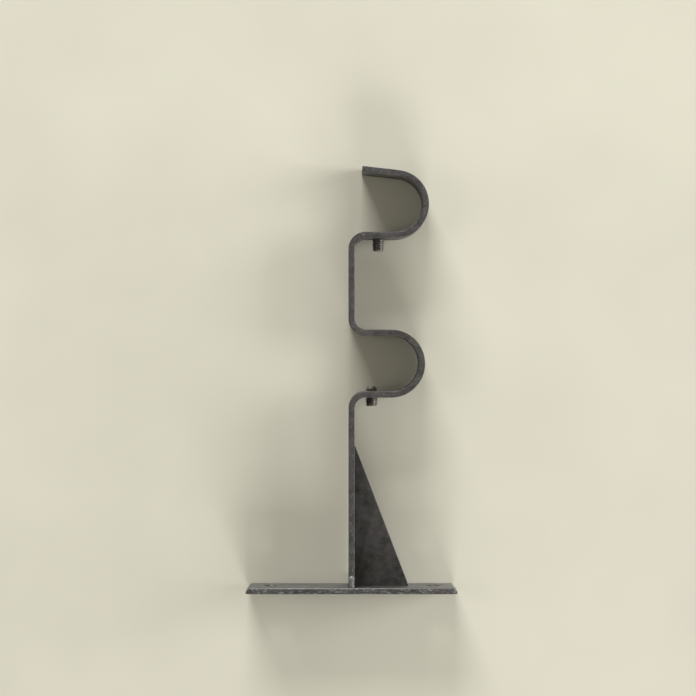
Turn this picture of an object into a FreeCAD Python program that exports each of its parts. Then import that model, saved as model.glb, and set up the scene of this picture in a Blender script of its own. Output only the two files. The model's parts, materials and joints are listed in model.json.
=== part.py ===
"""Double curtain pole bracket: a bent steel strip with two pole cups, welded to a wall plate.

The wall face is the plane X = 0 and the arm runs out along +X. Z is up, the poles lie along Y,
and both cups open upwards. Lengths are in millimetres and angles in degrees.
"""
import FreeCAD, Part
import math
import os
import Sketcher

os.makedirs("parts", exist_ok=True)
doc = FreeCAD.newDocument("bracket")
Vector = FreeCAD.Vector
SAME = 0.001  # two places this close are one place

# Driving dimensions: alias, value, meaning
DIMENSIONS = [
    ("pole_diameter", 22.0, "curtain pole that lies in each cup"),
    ("pole_clearance", 0.3, "room between pole and cup, on the radius"),
    ("strip_width", 18.0, "strip, along the pole"),
    ("strip_thickness", 2.5, "strip gauge"),
    ("strip_edge_round", 0.4, "rounding of the strip's long edges"),
    ("corner_radius", 4.4, "inside radius where the arm turns into a cup"),
    ("rear_pole_reach", 93.3, "wall face to the rear pole's centre"),
    ("pole_spacing", 64.7, "rear pole's centre to the front pole's centre"),
    ("rear_pole_drop", 16.0, "arm's middle plane down to the rear pole's centre"),
    ("front_pole_drop", 17.6, "arm's middle plane down to the front pole's centre"),
    ("free_leg_splay", 6.5, "lean of the front cup's free leg, away from the wall"),
    ("free_leg_drop", 4.3, "arm's middle plane down to the free leg's end"),
    ("plate_length", 86.0, "wall plate, up the wall"),
    ("plate_width", 20.0, "wall plate, along the pole"),
    ("plate_thickness", 2.5, "wall plate gauge"),
    ("plate_end_bevel", 1.8, "bevel across each end of the plate's front"),
    ("plate_corner_radius", 2.5, "plate corners, seen from the front"),
    ("wall_hole_spacing", 66.0, "centre to centre of the two wall screw holes"),
    ("wall_hole_radius", 2.5, "wall screw hole"),
    ("wall_hole_chamfer", 0.4, "broken edge on the front of each wall screw hole"),
    ("gusset_base", 22.0, "gusset, down the wall plate"),
    ("gusset_run", 57.0, "gusset, out along the arm"),
    ("gusset_thickness", 2.5, "gusset gauge"),
    ("gusset_tip", 0.3, "blunt end of the gusset's two sharp tips"),
    ("gusset_edge_round", 0.3, "rounding of the gusset's sloping edges"),
    ("grub_radius", 2.5, "grub screw, over its thread"),
    ("grub_length", 8.0, "grub screw, end to end"),
    ("grub_end_chamfer", 0.6, "chamfer at the grub screw's socket end"),
    ("grub_tip_radius", 1.5, "outer rim of the grub screw's cup point"),
    ("grub_cup_radius", 1.2, "mouth of the hollow in the cup point"),
    ("grub_cup_depth", 0.6, "depth of the hollow in the cup point"),
    ("socket_across_flats", 2.5, "hexagon socket"),
    ("socket_depth", 3.0, "hexagon socket"),
    ("thread_clearance", 0.05, "room between grub screw and its hole, on the radius"),
    ("rear_grub_drop", 8.1, "arm's middle plane down to the rear grub screw's axis"),
    ("rear_grub_reach", 1.9, "how far the rear grub screw stands into its cup"),
    ("front_grub_drop", 10.9, "arm's middle plane down to the front grub screw's axis"),
    ("front_grub_reach", 0.4, "how far the front grub screw stands into its cup"),
    ("nugget_height", 5.2, "arm weld nugget, out from the wall plate"),
    ("nugget_middle", 2.4, "wall plate's front to the fattest part of an arm weld nugget"),
    ("nugget_breadth", 2.5, "arm weld nugget, across the strip's edge"),
    ("nugget_swell", 1.1, "how far an arm weld nugget stands off the strip's edge"),
    ("bead_leg", 1.6, "gusset weld bead, leg of its quarter-round section"),
    ("bead_length", 9.0, "gusset weld bead, end to end"),
    ("low_bead_place", 16.0, "wall plate's front to the middle of the low bead"),
    ("high_bead_place", 38.0, "wall plate's front to the middle of the high bead"),
    ("plate_bead_place", 10.5, "arm's underside to the middle of the plate bead"),
]

# Dimensions worked out from those above, as the sheet's own formulas
DERIVED = [
    ("seat_radius", "=pole_diameter / 2 + pole_clearance"),
    ("cup_bend_radius", "=seat_radius + strip_thickness / 2"),
    ("corner_bend_radius", "=corner_radius + strip_thickness / 2"),
    ("half_strip", "=strip_thickness / 2"),
    ("front_pole_reach", "=rear_pole_reach + pole_spacing"),
    ("rear_leg_face", "=rear_pole_reach - seat_radius - strip_thickness"),
    ("front_leg_face", "=front_pole_reach - seat_radius - strip_thickness"),
    ("grub_hole_radius", "=grub_radius + thread_clearance"),
    ("socket_corner_radius", "=socket_across_flats / sqrt(3)"),
]

sheet = doc.addObject("Spreadsheet::Sheet", "dims")
for row, (alias, value, meaning) in enumerate(DIMENSIONS, start=1):
    sheet.set(f"A{row}", meaning)
    sheet.set(f"B{row}", str(value))
    sheet.setAlias(f"B{row}", alias)
for row, (alias, formula) in enumerate(DERIVED, start=len(DIMENSIONS) + 1):
    sheet.set(f"A{row}", alias.replace("_", " "))
    sheet.set(f"B{row}", formula)
    sheet.setAlias(f"B{row}", alias)
doc.recompute()


def size(alias):
    """The present value of a named cell, in millimetres or degrees."""
    return float(sheet.get(alias))


def new_body(name):
    """An empty body whose label names its sub-part."""
    body = doc.addObject("PartDesign::Body", name)
    body.Label = name
    return body


def new_sketch(body, name, plane_role, along="0 mm"):
    """A sketch on one of the body's own planes, moved along the plane's normal."""
    sketch = body.newObject("Sketcher::SketchObject", name)
    plane = next(item for item in body.Origin.OriginFeatures if item.Role == plane_role)
    sketch.AttachmentSupport = [(plane, "")]
    sketch.MapMode = "FlatFace"
    sketch.setExpression("AttachmentOffset.Base.z", along)
    return sketch


def bind(sketch, constraint, name, expression):
    """Add a named dimension to a sketch and tie it to the sheet."""
    index = sketch.addConstraint(constraint)
    sketch.renameConstraint(index, name)
    sketch.setExpression(f"Constraints.{name}", expression)


def fix_at_origin(sketch, item, point):
    """Hold one point of a sketch item on the sketch's origin."""
    sketch.addConstraint(Sketcher.Constraint("Coincident", item, point, -1, 1))


def pad(body, name, sketch, length, both_ways=False):
    """A pad whose length is tied to the sheet."""
    feature = body.newObject("PartDesign::Pad", name)
    feature.Profile = sketch
    feature.setExpression("Length", length)
    feature.Midplane = both_ways
    doc.recompute()


def pocket(body, name, sketch, length):
    """A pocket that cuts towards +X to a depth tied to the sheet."""
    before = body.Shape.Volume
    feature = body.newObject("PartDesign::Pocket", name)
    feature.Profile = sketch
    feature.setExpression("Length", length)
    feature.Reversed = True
    doc.recompute()
    if body.Shape.Volume >= before:
        raise RuntimeError(f"{name} removes nothing")


def edges_where(shape, wanted):
    """Names of the edges that a test picks by their place."""
    return [f"Edge{number}" for number, edge in enumerate(shape.Edges, start=1) if wanted(edge)]


def lies_at(edge, axis, place):
    """True if the whole edge lies in the plane where an axis has one value."""
    box = edge.BoundBox
    low = getattr(box, axis + "Min")
    high = getattr(box, axis + "Max")
    return abs(low - place) < SAME and abs(high - place) < SAME


def round_edges(body, name, edges, radius):
    """Fillet the named edges of the body's last feature."""
    base = body.Tip
    feature = body.newObject("PartDesign::Fillet", name)
    feature.Base = (base, edges)
    feature.setExpression("Radius", radius)
    doc.recompute()


def bevel_edges(body, name, edges, width):
    """Chamfer the named edges of the body's last feature."""
    base = body.Tip
    feature = body.newObject("PartDesign::Chamfer", name)
    feature.Base = (base, edges)
    feature.setExpression("Size", width)
    doc.recompute()


def rectangle(sketch, half_wide, half_high):
    """A rectangle centred on the sketch's origin, tied to two sheet expressions."""
    corners = [Vector(-5, -5, 0), Vector(5, -5, 0), Vector(5, 5, 0), Vector(-5, 5, 0)]
    for side in range(4):
        sketch.addGeometry(Part.LineSegment(corners[side], corners[(side + 1) % 4]), False)
    for side in range(4):
        sketch.addConstraint(Sketcher.Constraint("Coincident", side, 2, (side + 1) % 4, 1))
    for side, direction in enumerate(["Horizontal", "Vertical", "Horizontal", "Vertical"]):
        sketch.addConstraint(Sketcher.Constraint(direction, side))
    sketch.addConstraint(Sketcher.Constraint("Symmetric", 0, 1, 2, 1, -1, 1))
    bind(sketch, Sketcher.Constraint("DistanceX", -1, 1, 1, 1, 5.0), "half_wide", half_wide)
    bind(sketch, Sketcher.Constraint("DistanceY", -1, 1, 2, 1, 5.0), "half_high", half_high)


def arc(centre, radius, first, last):
    """An arc in a sketch, counter-clockwise between two angles in degrees."""
    circle = Part.Circle(centre, Vector(0, 0, 1), radius)
    return Part.ArcOfCircle(circle, math.radians(first), math.radians(last))


def arm_path(body):
    """Middle line of the bent strip, from the wall plate to the free tip, seen from the side."""
    bend = size("cup_bend_radius")
    corner = size("corner_bend_radius")
    rear = Vector(size("rear_pole_reach"), -size("rear_pole_drop"), 0)
    front = Vector(size("front_pole_reach"), -size("front_pole_drop"), 0)
    splay = size("free_leg_splay")
    lean = Vector(math.sin(math.radians(splay)), math.cos(math.radians(splay)), 0)
    free_start = front + Vector(bend * lean.y, -bend * lean.x, 0)
    rise = (-size("free_leg_drop") - free_start.y) / lean.y

    foot = Vector(size("plate_thickness"), 0, 0)
    rear_in = Vector(rear.x - bend - corner, 0, 0)
    rear_out = Vector(rear.x + bend + corner, 0, 0)
    front_in = Vector(front.x - bend - corner, 0, 0)
    down = Vector(0, -corner, 0)

    sketch = new_sketch(body, "arm_path", "XZ_Plane")
    pieces = [
        Part.LineSegment(foot, rear_in),
        arc(rear_in + down, corner, 0, 90),
        Part.LineSegment(rear_in + down + Vector(corner, 0, 0), rear - Vector(bend, 0, 0)),
        arc(rear, bend, 180, 360),
        Part.LineSegment(rear + Vector(bend, 0, 0), rear_out + down - Vector(corner, 0, 0)),
        arc(rear_out + down, corner, 90, 180),
        Part.LineSegment(rear_out, front_in),
        arc(front_in + down, corner, 0, 90),
        Part.LineSegment(front_in + down + Vector(corner, 0, 0), front - Vector(bend, 0, 0)),
        arc(front, bend, 180, 360 - splay),
        Part.LineSegment(free_start, free_start + lean * rise),
    ]
    for piece in pieces:
        sketch.addGeometry(piece, False)
    arm, rear_corner, rear_leg, rear_cup, far_leg, far_corner = range(6)
    bridge, front_corner, front_leg, front_cup, free_leg = range(6, 11)

    # Each piece leaves the last one without a kink; a corner's arc starts at its far end
    joints = [
        (arm, 2, rear_corner, 2), (rear_corner, 1, rear_leg, 1), (rear_leg, 2, rear_cup, 1),
        (rear_cup, 2, far_leg, 1), (far_leg, 2, far_corner, 2), (far_corner, 1, bridge, 1),
        (bridge, 2, front_corner, 2), (front_corner, 1, front_leg, 1),
        (front_leg, 2, front_cup, 1), (front_cup, 2, free_leg, 1),
    ]
    for joint in joints:
        sketch.addConstraint(Sketcher.Constraint("Tangent", *joint))
    for level in (arm, bridge):
        sketch.addConstraint(Sketcher.Constraint("PointOnObject", level, 1, -1))
        sketch.addConstraint(Sketcher.Constraint("Horizontal", level))
    for upright in (rear_leg, far_leg, front_leg):
        sketch.addConstraint(Sketcher.Constraint("Vertical", upright))
    for turned, name in ((rear_corner, "rear"), (far_corner, "far"), (front_corner, "front")):
        radius = Sketcher.Constraint("Radius", turned, corner)
        bind(sketch, radius, f"{name}_corner_radius", "dims.corner_bend_radius")

    bind(sketch, Sketcher.Constraint("DistanceX", -1, 1, arm, 1, foot.x),
         "foot_place", "dims.plate_thickness")
    for cup, name, centre in ((rear_cup, "rear", rear), (front_cup, "front", front)):
        bind(sketch, Sketcher.Constraint("Radius", cup, bend),
             f"{name}_cup_radius", "dims.cup_bend_radius")
        bind(sketch, Sketcher.Constraint("DistanceX", -1, 1, cup, 3, centre.x),
             f"{name}_reach", f"dims.{name}_pole_reach")
        bind(sketch, Sketcher.Constraint("DistanceY", cup, 3, -1, 1, -centre.y),
             f"{name}_drop", f"dims.{name}_pole_drop")
    bind(sketch, Sketcher.Constraint("DistanceY", free_leg, 2, -1, 1, size("free_leg_drop")),
         "free_leg_drop", "dims.free_leg_drop")
    angle = math.radians(90 - splay)
    bind(sketch, Sketcher.Constraint("Angle", free_leg, angle),
         "free_leg_angle", "90 - dims.free_leg_splay")
    return sketch


def grub_hole(body, end):
    """Tapped hole through the wall-side leg of one cup."""
    start = f"dims.{end}_leg_face - dims.strip_thickness"
    sketch = new_sketch(body, f"{end}_grub_hole_outline", "YZ_Plane", start)
    sketch.addGeometry(Part.Circle(Vector(0, -9, 0), Vector(0, 0, 1), 2), False)
    sketch.addConstraint(Sketcher.Constraint("PointOnObject", 0, 3, -2))
    bind(sketch, Sketcher.Constraint("DistanceY", 0, 3, -1, 1, 9.0),
         "axis_drop", f"dims.{end}_grub_drop")
    bind(sketch, Sketcher.Constraint("Radius", 0, 2.0), "radius", "dims.grub_hole_radius")
    pocket(body, f"{end}_grub_hole", sketch, "3 * dims.strip_thickness")


def make_arm_strip():
    """The strip, swept along its bent middle line, with its two grub screw holes."""
    body = new_body("arm_strip")
    path = arm_path(body)
    section = new_sketch(body, "strip_section", "YZ_Plane", "dims.plate_thickness")
    rectangle(section, "dims.strip_width / 2", "dims.half_strip")
    doc.recompute()
    sweep = body.newObject("PartDesign::AdditivePipe", "bent_strip")
    sweep.Profile = section
    sweep.Spine = (path, [])
    doc.recompute()

    side = size("strip_width") / 2
    foot = size("plate_thickness")
    outline = edges_where(
        body.Shape,
        lambda edge: (lies_at(edge, "Y", side) or lies_at(edge, "Y", -side))
        and not lies_at(edge, "X", foot))
    round_edges(body, "rounded_edges", outline, "dims.strip_edge_round")
    grub_hole(body, "rear")
    grub_hole(body, "front")
    return body


def make_wall_plate():
    """Flat plate against the wall, with a screw hole above and below the arm."""
    body = new_body("wall_plate")
    outline = new_sketch(body, "plate_outline", "YZ_Plane")
    rectangle(outline, "dims.plate_width / 2", "dims.plate_length / 2")
    pad(body, "plate_blank", outline, "dims.plate_thickness")

    end = size("plate_length") / 2
    front = size("plate_thickness")
    ends = edges_where(
        body.Shape,
        lambda edge: lies_at(edge, "X", front)
        and (lies_at(edge, "Z", end) or lies_at(edge, "Z", -end)))
    bevel_edges(body, "end_bevels", ends, "dims.plate_end_bevel")

    corners = edges_where(
        body.Shape,
        lambda edge: edge.BoundBox.YLength < SAME
        and (lies_at(edge, "Z", end) or lies_at(edge, "Z", -end)))
    round_edges(body, "rounded_corners", corners, "dims.plate_corner_radius")

    holes = new_sketch(body, "wall_hole_outlines", "YZ_Plane")
    for index, sign in enumerate((1, -1)):
        holes.addGeometry(Part.Circle(Vector(0, 30 * sign, 0), Vector(0, 0, 1), 2), False)
        holes.addConstraint(Sketcher.Constraint("PointOnObject", index, 3, -2))
        bind(holes, Sketcher.Constraint("Radius", index, 2.0), f"radius_{index}",
             "dims.wall_hole_radius")
    bind(holes, Sketcher.Constraint("DistanceY", -1, 1, 0, 3, 30.0), "upper_place",
         "dims.wall_hole_spacing / 2")
    bind(holes, Sketcher.Constraint("DistanceY", 1, 3, -1, 1, 30.0), "lower_place",
         "dims.wall_hole_spacing / 2")
    pocket(body, "wall_holes", holes, "2 * dims.plate_thickness")

    rims = edges_where(
        body.Shape,
        lambda edge: isinstance(edge.Curve, Part.Circle) and lies_at(edge, "X", front)
        and abs(edge.Curve.Radius - size("wall_hole_radius")) < SAME)
    bevel_edges(body, "broken_hole_edges", rims, "dims.wall_hole_chamfer")
    return body


def polygon(sketch, points):
    """Closed run of straight lines through points; returns the number of its first side."""
    first = sketch.GeometryCount
    count = len(points)
    for side in range(count):
        line = Part.LineSegment(points[side], points[(side + 1) % count])
        sketch.addGeometry(line, False)
    for side in range(count):
        following = first + (side + 1) % count
        sketch.addConstraint(Sketcher.Constraint("Coincident", first + side, 2, following, 1))
    return first


def make_gusset():
    """Right-angled triangle of flat plate under the arm, with its two sharp tips cut blunt."""
    body = new_body("gusset")
    base = size("gusset_base")
    run = size("gusset_run")
    tip = size("gusset_tip")
    corner = Vector(size("plate_thickness"), -size("half_strip"), 0)
    outline = new_sketch(body, "gusset_outline", "XZ_Plane")
    points = [corner, corner + Vector(run, 0, 0), corner + Vector(run, -tip, 0),
              corner + Vector(tip, -base, 0), corner + Vector(0, -base, 0)]
    along_arm, arm_tip, slope, plate_tip, down_plate = range(5)
    polygon(outline, points)
    for level in (along_arm, plate_tip):
        outline.addConstraint(Sketcher.Constraint("Horizontal", level))
    for upright in (arm_tip, down_plate):
        outline.addConstraint(Sketcher.Constraint("Vertical", upright))
    bind(outline, Sketcher.Constraint("DistanceX", -1, 1, along_arm, 1, corner.x),
         "plate_face", "dims.plate_thickness")
    bind(outline, Sketcher.Constraint("DistanceY", along_arm, 1, -1, 1, -corner.y),
         "arm_face", "dims.half_strip")
    bind(outline, Sketcher.Constraint("DistanceX", along_arm, 1, along_arm, 2, run),
         "run", "dims.gusset_run")
    bind(outline, Sketcher.Constraint("DistanceY", down_plate, 1, down_plate, 2, base),
         "base", "dims.gusset_base")
    bind(outline, Sketcher.Constraint("DistanceY", arm_tip, 2, arm_tip, 1, tip),
         "arm_tip", "dims.gusset_tip")
    bind(outline, Sketcher.Constraint("DistanceX", plate_tip, 2, plate_tip, 1, tip),
         "plate_tip", "dims.gusset_tip")
    pad(body, "gusset_plate", outline, "dims.gusset_thickness", both_ways=True)

    slopes = edges_where(
        body.Shape,
        lambda edge: edge.BoundBox.YLength < SAME
        and edge.BoundBox.XLength > SAME and edge.BoundBox.ZLength > SAME)
    round_edges(body, "rounded_slope", slopes, "dims.gusset_edge_round")
    return body


def make_grub_screw(end):
    """Headless screw along X: hexagon socket at the wall side, cup point towards the pole."""
    body = new_body(f"{end}_grub_screw")
    length = size("grub_length")
    radius = size("grub_radius")
    bevel = size("grub_end_chamfer")
    tip = size("grub_tip_radius")
    cup = size("grub_cup_radius")
    depth = size("grub_cup_depth")
    half = new_sketch(body, "half_section", "XZ_Plane")
    axis, socket_face, socket_bevel, thread, tip_bevel, tip_face, hollow = range(7)
    polygon(half, [
        Vector(length - depth, 0, 0), Vector(0, 0, 0), Vector(0, radius - bevel, 0),
        Vector(bevel, radius, 0), Vector(length - (radius - tip), radius, 0),
        Vector(length, tip, 0), Vector(length, cup, 0)])
    fix_at_origin(half, socket_face, 1)
    half.addConstraint(Sketcher.Constraint("Horizontal", axis))
    half.addConstraint(Sketcher.Constraint("Horizontal", thread))
    half.addConstraint(Sketcher.Constraint("Vertical", socket_face))
    half.addConstraint(Sketcher.Constraint("Vertical", tip_face))
    for name, item, point, value, expression in (
            ("length", tip_face, 1, length, "dims.grub_length"),
            ("bevel_run", thread, 1, bevel, "dims.grub_end_chamfer"),
            ("tip_run", thread, 2, length - radius + tip,
             "dims.grub_length - dims.grub_radius + dims.grub_tip_radius"),
            ("hollow_floor", axis, 1, length - depth, "dims.grub_length - dims.grub_cup_depth")):
        bind(half, Sketcher.Constraint("DistanceX", -1, 1, item, point, value), name, expression)
    for name, item, point, value, expression in (
            ("radius", thread, 1, radius, "dims.grub_radius"),
            ("socket_rim", socket_face, 2, radius - bevel,
             "dims.grub_radius - dims.grub_end_chamfer"),
            ("tip_rim", tip_face, 1, tip, "dims.grub_tip_radius"),
            ("hollow_rim", tip_face, 2, cup, "dims.grub_cup_radius")):
        bind(half, Sketcher.Constraint("DistanceY", -1, 1, item, point, value), name, expression)
    turned = body.newObject("PartDesign::Revolution", "turned_blank")
    turned.Profile = half
    turned.ReferenceAxis = (half, ["H_Axis"])
    turned.Angle = 360
    doc.recompute()

    socket = new_sketch(body, "socket_outline", "YZ_Plane")
    reach = size("socket_corner_radius")
    corners = [Vector(reach * math.cos(math.radians(60 * step)),
                      reach * math.sin(math.radians(60 * step)), 0) for step in range(6)]
    polygon(socket, corners)
    rim = socket.addGeometry(Part.Circle(Vector(0, 0, 0), Vector(0, 0, 1), reach), True)
    fix_at_origin(socket, rim, 3)
    for side in range(6):
        socket.addConstraint(Sketcher.Constraint("PointOnObject", side, 1, rim))
    for side in range(1, 6):
        socket.addConstraint(Sketcher.Constraint("Equal", 0, side))
    socket.addConstraint(Sketcher.Constraint("PointOnObject", 0, 1, -1))
    bind(socket, Sketcher.Constraint("Radius", rim, reach), "corner_radius",
         "dims.socket_corner_radius")
    pocket(body, "socket", socket, "dims.socket_depth")

    leg_inside = f"dims.{end}_leg_face + dims.strip_thickness"
    body.setExpression("Placement.Base.x",
                       f"{leg_inside} + dims.{end}_grub_reach - dims.grub_length")
    body.setExpression("Placement.Base.z", f"-dims.{end}_grub_drop")
    return body


def make_arm_weld(name, side):
    """Weld nugget on one narrow edge of the arm's foot: an egg cut flat by arm and plate."""
    nugget = doc.addObject("Part::Ellipsoid", f"{name}_egg")
    nugget.setExpression("Radius1", "dims.nugget_breadth / 2")
    nugget.setExpression("Radius2", "dims.nugget_height - dims.nugget_middle")
    nugget.setExpression("Radius3", "dims.nugget_swell")
    nugget.setExpression("Placement.Base.x", "dims.plate_thickness + dims.nugget_middle")
    nugget.setExpression("Placement.Base.y", f"{side} * dims.strip_width / 2")
    outside = doc.addObject("Part::Box", f"{name}_room")
    outside.setExpression("Length", "dims.nugget_height")
    outside.setExpression("Width", "2 * dims.nugget_swell")
    outside.setExpression("Height", "dims.nugget_breadth")
    outside.setExpression("Placement.Base.x", "dims.plate_thickness")
    outside.setExpression("Placement.Base.y",
                          f"{side} * (dims.strip_width / 2 + dims.nugget_swell) - dims.nugget_swell")
    outside.setExpression("Placement.Base.z", "-dims.nugget_breadth / 2")
    weld = doc.addObject("Part::Common", name)
    weld.Base = nugget
    weld.Tool = outside
    weld.Label = name
    doc.recompute()
    return weld


def make_bead(name, turn_axis, turn, place):
    """Weld bead in a corner: a half outline with rounded ends, turned a quarter of the way round.

    Its own X axis is the corner line, and turn and place carry it to the gusset's far face.
    """
    body = new_body(name)
    leg = size("bead_leg")
    half = size("bead_length") / 2
    profile = new_sketch(body, "half_outline", "XY_Plane")
    profile.addGeometry(Part.LineSegment(Vector(half, 0, 0), Vector(-half, 0, 0)), False)
    profile.addGeometry(arc(Vector(leg - half, 0, 0), leg, 90, 180), False)
    profile.addGeometry(Part.LineSegment(Vector(leg - half, leg, 0), Vector(half - leg, leg, 0)), False)
    profile.addGeometry(arc(Vector(half - leg, 0, 0), leg, 0, 90), False)
    corner_line, left_end, crown, right_end = range(4)
    profile.addConstraint(Sketcher.Constraint("Symmetric", corner_line, 1, corner_line, 2, -1, 1))
    profile.addConstraint(Sketcher.Constraint("Horizontal", corner_line))
    profile.addConstraint(Sketcher.Constraint("Coincident", corner_line, 2, left_end, 2))
    profile.addConstraint(Sketcher.Constraint("Coincident", corner_line, 1, right_end, 1))
    profile.addConstraint(Sketcher.Constraint("Tangent", left_end, 1, crown, 1))
    profile.addConstraint(Sketcher.Constraint("Tangent", crown, 2, right_end, 2))
    profile.addConstraint(Sketcher.Constraint("Horizontal", crown))
    profile.addConstraint(Sketcher.Constraint("PointOnObject", left_end, 3, -1))
    profile.addConstraint(Sketcher.Constraint("PointOnObject", right_end, 3, -1))
    bind(profile, Sketcher.Constraint("Radius", left_end, leg), "leg", "dims.bead_leg")
    bind(profile, Sketcher.Constraint("DistanceX", corner_line, 2, corner_line, 1, 2 * half),
         "length", "dims.bead_length")
    turned = body.newObject("PartDesign::Revolution", "quarter_turn")
    turned.Profile = profile
    turned.ReferenceAxis = (profile, ["H_Axis"])
    turned.Angle = 90
    body.Placement = FreeCAD.Placement(Vector(0, 0, 0), FreeCAD.Rotation(turn_axis, turn))
    for axis, expression in zip("xyz", place):
        body.setExpression(f"Placement.Base.{axis}", expression)
    doc.recompute()
    return body


far_face = "dims.gusset_thickness / 2"
along_arm = (Vector(1, 0, 0), -90)
down_plate = (Vector(0, 1, 0), 90)
PARTS = [
    make_arm_strip(),
    make_wall_plate(),
    make_gusset(),
    make_grub_screw("front"),
    make_grub_screw("rear"),
    make_arm_weld("near_arm_weld", -1),
    make_arm_weld("far_arm_weld", 1),
    make_bead("gusset_arm_weld_low", *along_arm,
              ("dims.plate_thickness + dims.low_bead_place", far_face, "-dims.half_strip")),
    make_bead("gusset_arm_weld_high", *along_arm,
              ("dims.plate_thickness + dims.high_bead_place", far_face, "-dims.half_strip")),
    make_bead("gusset_plate_weld", *down_plate,
              ("dims.plate_thickness", far_face, "-dims.half_strip - dims.plate_bead_place")),
]
doc.recompute()

for item in doc.Objects:
    if {"Invalid", "Error"} & set(item.State):
        raise RuntimeError(f"{item.Name} did not build: {item.State}")
for part in PARTS:
    shape = part.Shape
    if shape.isNull() or not shape.isValid() or len(shape.Solids) != 1:
        raise RuntimeError(f"{part.Label} is not one sound solid")
for part in PARTS:
    part.Shape.exportStep(f"parts/{part.Label}.step")
    print(f"{part.Label}: {part.Shape.Volume:.2f} mm3, {len(part.Shape.Faces)} faces")
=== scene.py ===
# %% [markdown]
# # A double curtain pole bracket in black paint
# The real bracket is a weldment. One flat steel strip is bent into an arm with two open cups, a
# flat plate goes against the wall, and a triangular gusset braces the two. A grub screw in each
# cup clamps the pole. This lesson dresses the engineering model of that bracket: sizes and places
# come from the frame, and what is made here is the look of bent, welded and painted steel.

# %% Load the frame
import json
import math

import bmesh
import bpy
from mathutils import Matrix, Vector, noise


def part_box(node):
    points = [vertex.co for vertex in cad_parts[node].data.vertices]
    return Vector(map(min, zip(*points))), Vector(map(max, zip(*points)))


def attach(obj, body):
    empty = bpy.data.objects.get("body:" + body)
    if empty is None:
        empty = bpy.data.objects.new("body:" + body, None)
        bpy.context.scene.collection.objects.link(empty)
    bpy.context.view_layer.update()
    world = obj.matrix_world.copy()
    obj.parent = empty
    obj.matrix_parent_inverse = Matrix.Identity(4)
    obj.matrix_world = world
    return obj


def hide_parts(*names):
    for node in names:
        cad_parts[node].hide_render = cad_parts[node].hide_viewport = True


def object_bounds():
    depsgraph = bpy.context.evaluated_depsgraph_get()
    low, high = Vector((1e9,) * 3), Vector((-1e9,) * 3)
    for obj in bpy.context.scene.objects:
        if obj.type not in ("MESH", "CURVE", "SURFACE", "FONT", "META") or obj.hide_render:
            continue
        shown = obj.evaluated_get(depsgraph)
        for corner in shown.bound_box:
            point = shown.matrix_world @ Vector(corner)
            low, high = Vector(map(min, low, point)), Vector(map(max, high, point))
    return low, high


MM = 0.001  # the frame is in metres, a workshop thinks in millimetres
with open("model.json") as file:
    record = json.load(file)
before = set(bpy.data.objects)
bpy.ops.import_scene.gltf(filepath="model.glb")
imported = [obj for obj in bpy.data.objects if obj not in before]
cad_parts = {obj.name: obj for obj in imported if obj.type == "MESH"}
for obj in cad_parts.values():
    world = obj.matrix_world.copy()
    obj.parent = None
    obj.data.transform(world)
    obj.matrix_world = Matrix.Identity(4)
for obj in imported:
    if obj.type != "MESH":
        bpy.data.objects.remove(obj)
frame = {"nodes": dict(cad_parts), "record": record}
cad_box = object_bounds()
nodes = frame["nodes"]
print("nodes:", ", ".join(sorted(nodes)))

# %% [markdown]
# Everything later needs a few sizes, and most of them are in the frame. The strip's gauge is
# twice its height above the arm's middle plane. Each cup is stated as a pole seat with a centre
# and a radius. Only the small corner radius, the lean of the free leg and how far its end stays
# below the arm are written here again.

# %% Read the driving sizes
strip_low, strip_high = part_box("arm_strip")
GAUGE = 2 * strip_high.z
STRIP_SIDE = strip_high.y
PLATE_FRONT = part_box("wall_plate")[1].x
seats = {m["name"]: m for m in frame["record"]["mounts"] if m["kind"] == "clamp"}
REAR_POLE = Vector(seats["rear_pole_seat"]["pos_m"])
FRONT_POLE = Vector(seats["front_pole_seat"]["pos_m"])
SEAT_RADIUS = seats["rear_pole_seat"]["dims"]["r_mm"] * MM
CORNER_RADIUS = 4.4 * MM
FREE_LEG_LEAN = math.radians(6.5)
FREE_LEG_DROP = 4.3 * MM
print(f"gauge {GAUGE / MM:.2f} mm, strip width {2 * STRIP_SIDE / MM:.1f} mm, "
      f"seat radius {SEAT_RADIUS / MM:.1f} mm")

# %% [markdown]
# Blender's operators act on whatever is selected, so the first helpers only select: one object,
# or the faces, edges or corners of its mesh that pass a test of place or direction.


# %% Helpers that select
def pick(obj):
    """Make one object the selected and active one."""
    bpy.ops.object.select_all(action="DESELECT")
    bpy.context.view_layer.objects.active = obj
    obj.select_set(True)


def open_mesh(obj, kind="FACE"):
    """Enter edit mode with nothing selected."""
    pick(obj)
    bpy.ops.object.mode_set(mode="EDIT")
    bpy.ops.mesh.select_mode(type=kind)
    bpy.ops.mesh.select_all(action="DESELECT")


def close_mesh():
    """Leave edit mode."""
    bpy.ops.object.mode_set(mode="OBJECT")


def select_where(obj, kind, test):
    """In edit mode, select the faces, edges or corners that pass a test."""
    bpy.ops.mesh.select_mode(type=kind)
    bpy.ops.mesh.select_all(action="DESELECT")
    mesh = bmesh.from_edit_mesh(obj.data)
    items = {"FACE": mesh.faces, "EDGE": mesh.edges, "VERT": mesh.verts}[kind]
    for item in items:
        if test(item):
            item.select_set(True)
    mesh.select_flush_mode()
    bmesh.update_edit_mesh(obj.data)


# %% [markdown]
# The next helpers finish a piece. A modifier is set up and applied at once, so that the mesh is
# the finished one. Smooth shading stops at sharp edges, as it does on real metal.


# %% Helpers that finish
def apply_modifier(obj, kind, **settings):
    """Add a modifier, set it up and apply it."""
    pick(obj)
    modifier = obj.modifiers.new(kind.lower(), kind)
    for name, value in settings.items():
        setattr(modifier, name, value)
    bpy.ops.object.modifier_apply(modifier=modifier.name)


def carve(obj, cutter, operation="DIFFERENCE"):
    """Cut one closed mesh with another, which is then thrown away."""
    apply_modifier(obj, "BOOLEAN", object=cutter, operation=operation, solver="EXACT")
    bpy.data.objects.remove(cutter)


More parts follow.
